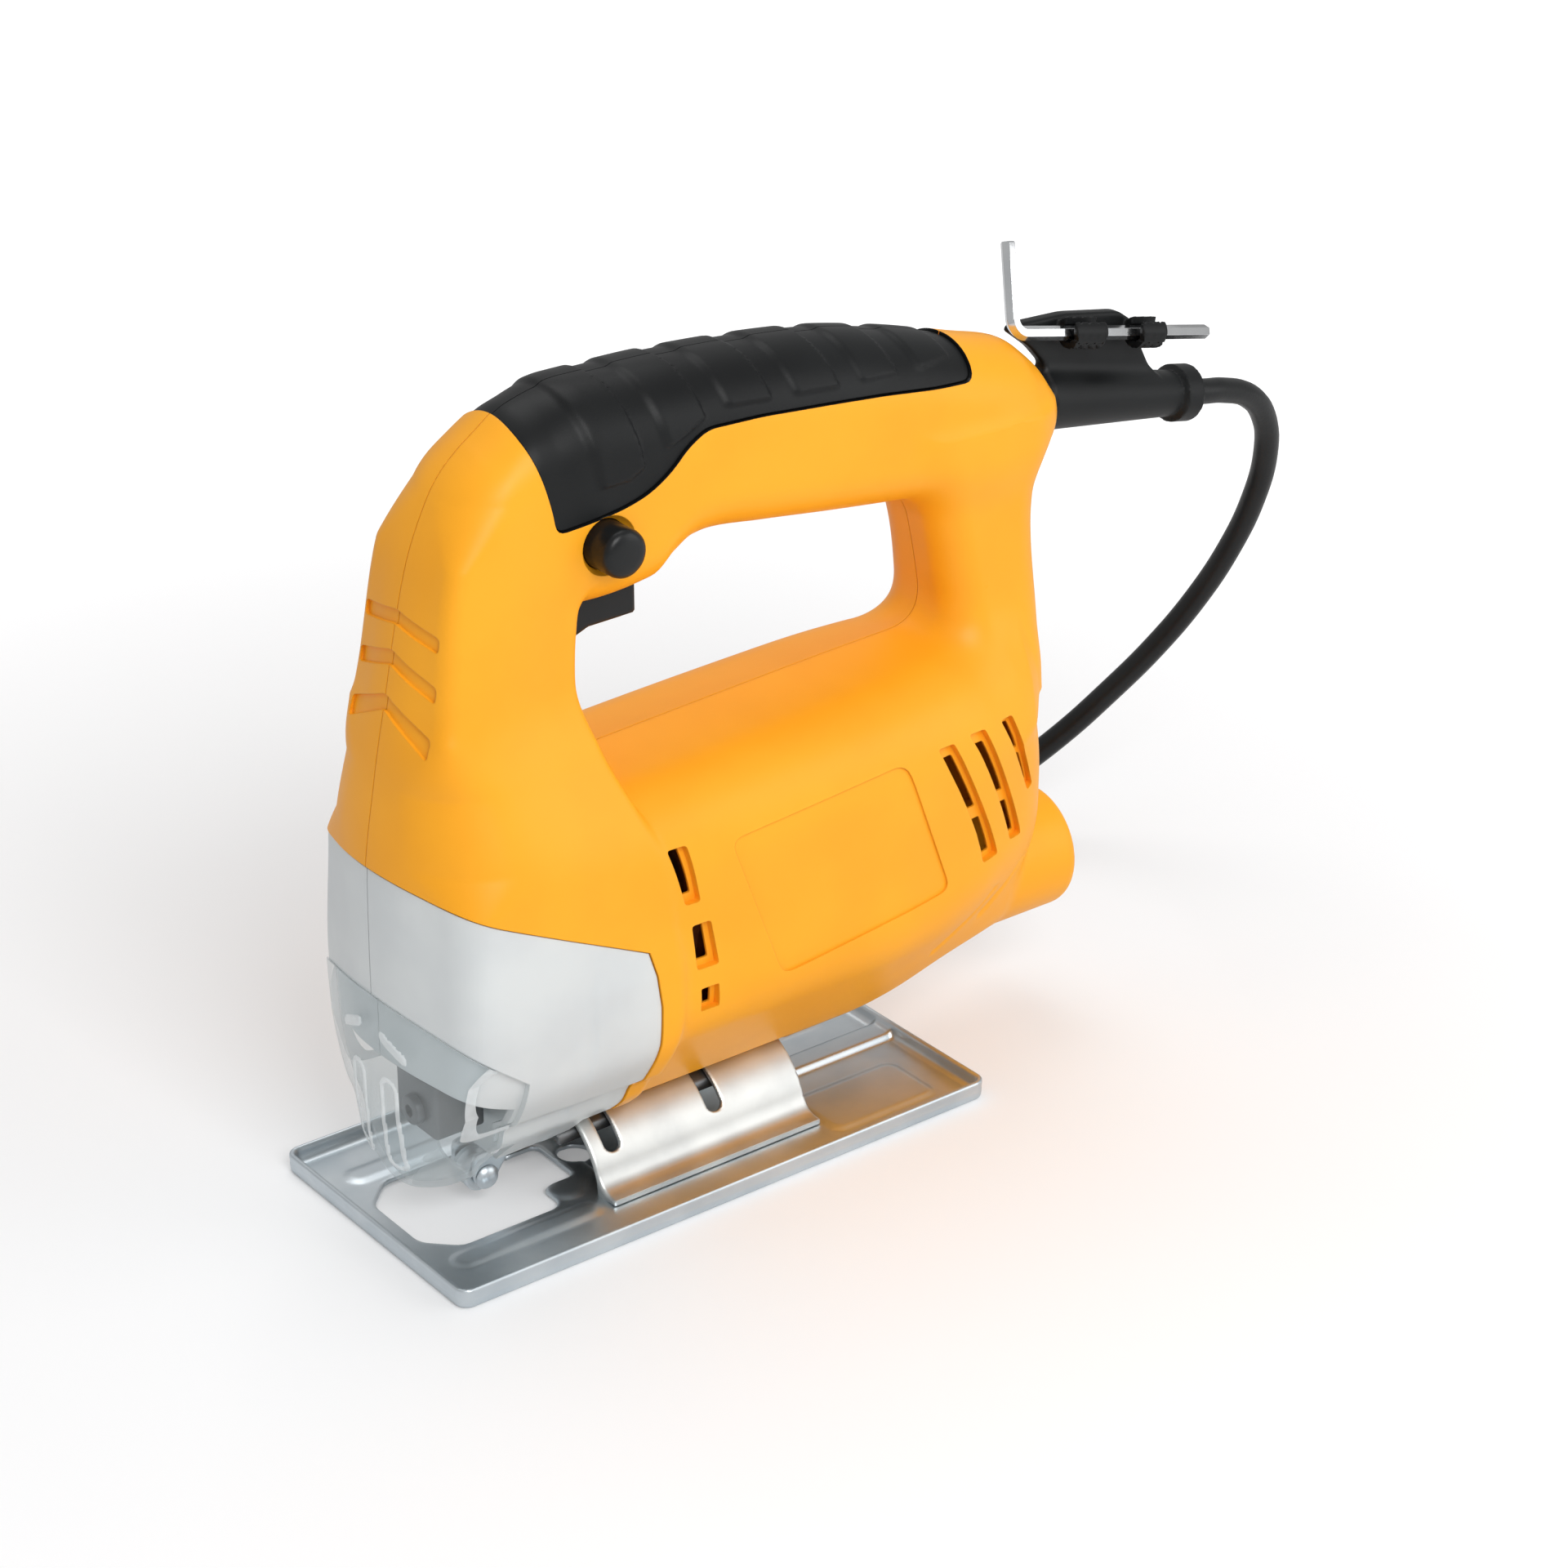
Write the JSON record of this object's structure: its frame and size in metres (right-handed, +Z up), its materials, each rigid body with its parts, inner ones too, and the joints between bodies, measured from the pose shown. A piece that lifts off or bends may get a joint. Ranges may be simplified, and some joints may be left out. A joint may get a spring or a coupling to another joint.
{
  "type": "corded jigsaw",
  "caption": "Corded jigsaw with a closed handle, a trigger with a lock button, a clear blade guard, a tilting base plate and a hex key clipped to the cord boot.",
  "frame": {"origin": "centre of the base plate's underside, which is also the bevel axis", "axes": "+X from the nose to the rear, +Y to the tool's right, +Z up from the work; Y = 0 is the housing's parting plane"},
  "size_m": [0.2834, 0.2024, 0.1967],
  "materials": {
    "orange_plastic": "satin moulded plastic",
    "silver_plastic": "satin silver moulded plastic",
    "black_rubber": "soft black rubber",
    "black_plastic": "black moulded plastic",
    "grey_plastic": "grey moulded plastic",
    "clear_plastic": "clear moulded plastic",
    "zinc": "bright zinc plate on pressed steel",
    "steel": "satin steel",
    "dark_steel": "dark steel",
    "bronze": "sintered bronze or brass",
    "copper": "enamelled copper",
    "carbon": "pressed carbon",
    "cord_black": "black rubber cord sheath"
  },
  "bodies": {
    "housing": {"housing_left": "orange_plastic", "housing_right": "orange_plastic", "nose_cover_left": "silver_plastic", "nose_cover_right": "silver_plastic", "grip_left": "black_rubber", "grip_right": "black_rubber", "blade_guard": "clear_plastic", "bevel_clamp_plate": "dark_steel", "clamp_nut_plate": "dark_steel", "bevel_clamp_screw_front": "dark_steel", "bevel_clamp_screw_rear": "dark_steel", "roller_bracket": "zinc", "bracket_screw": "dark_steel", "roller_pin": "zinc", "lower_bush": "bronze", "upper_bush": "bronze", "gear_axle": "steel", "gear_frame": "grey_plastic", "front_bearing": "steel", "rear_bearing": "steel", "stator_core": "dark_steel", "field_coils": "copper", "brush_holder_left": "bronze", "brush_holder_right": "bronze", "carbon_brush_left": "carbon", "carbon_brush_right": "carbon", "trigger_spring": "steel", "switch_body": "black_plastic", "suppressor_capacitor": "grey_plastic", "cord_boot": "black_rubber", "cord_clamp": "black_plastic", "cord_lead_in": "cord_black", "cord": "cord_black", "cord_coil": "cord_black", "cord_tie": "black_plastic", "plug_body": "black_rubber", "plug_pins": "steel", "housing_screw_1": "dark_steel", "housing_screw_2": "dark_steel", "housing_screw_3": "dark_steel", "housing_screw_4": "dark_steel", "nose_screw_1": "dark_steel", "nose_screw_2": "dark_steel"},
    "shoe": {"base_plate": "zinc", "bevel_cradle": "steel"},
    "guide_roller": {"guide_roller": "zinc"},
    "plunger": {"plunger_rod": "steel", "crank_yoke": "dark_steel", "blade_clamp": "dark_steel", "blade_clamp_screw": "dark_steel"},
    "crank": {"crank_gear": "steel", "crank_pin": "steel"},
    "armature": {"armature_shaft": "steel", "armature_core": "dark_steel", "armature_winding": "copper", "commutator": "copper", "cooling_fan": "black_plastic"},
    "trigger": {"trigger": "black_plastic"},
    "lock_button": {"lock_button": "black_plastic"},
    "hex_key": {"hex_key": "steel"}
  },
  "joints": [
    {"name": "bevel_tilt", "type": "hinge", "parent": "housing", "child": "shoe", "pos_m": [0, 0, 0], "axis": [1, 0, 0], "range_deg": [-45, 45]},
    {"name": "roller_spin", "type": "hinge", "parent": "housing", "child": "guide_roller", "pos_m": [-0.0468, 0, 0.008], "axis": [0, 1, 0], "continuous": true},
    {"name": "plunger_stroke", "type": "slide", "parent": "housing", "child": "plunger", "axis": [0, 0, 1], "range_m": [-0.009, 0.009]},
    {"name": "crank_spin", "type": "hinge", "parent": "housing", "child": "crank", "pos_m": [-0.04, 0, 0.092], "axis": [1, 0, 0], "continuous": true},
    {"name": "armature_spin", "type": "hinge", "parent": "housing", "child": "armature", "pos_m": [0, 0, 0.068], "axis": [1, 0, 0], "continuous": true},
    {"name": "trigger_pull", "type": "slide", "parent": "housing", "child": "trigger", "axis": [0, 0, 1], "range_m": [0, 0.005], "stiffness_N_per_m": 1500, "springref_m": -0.003, "deforming": ["trigger_spring"]},
    {"name": "lock_push", "type": "slide", "parent": "housing", "child": "lock_button", "axis": [0, 1, 0], "range_m": [0, 0.004], "stiffness_N_per_m": 600, "springref_m": -0.002},
    {"name": "key_slide", "type": "slide", "parent": "housing", "child": "hex_key", "axis": [0.9813, 0, -0.1925], "range_m": [-0.012, 0.012]}
  ],
  "couplings": [
    {"joint": "crank_spin", "follows": "armature_spin", "ratio": -0.2}
  ]
}
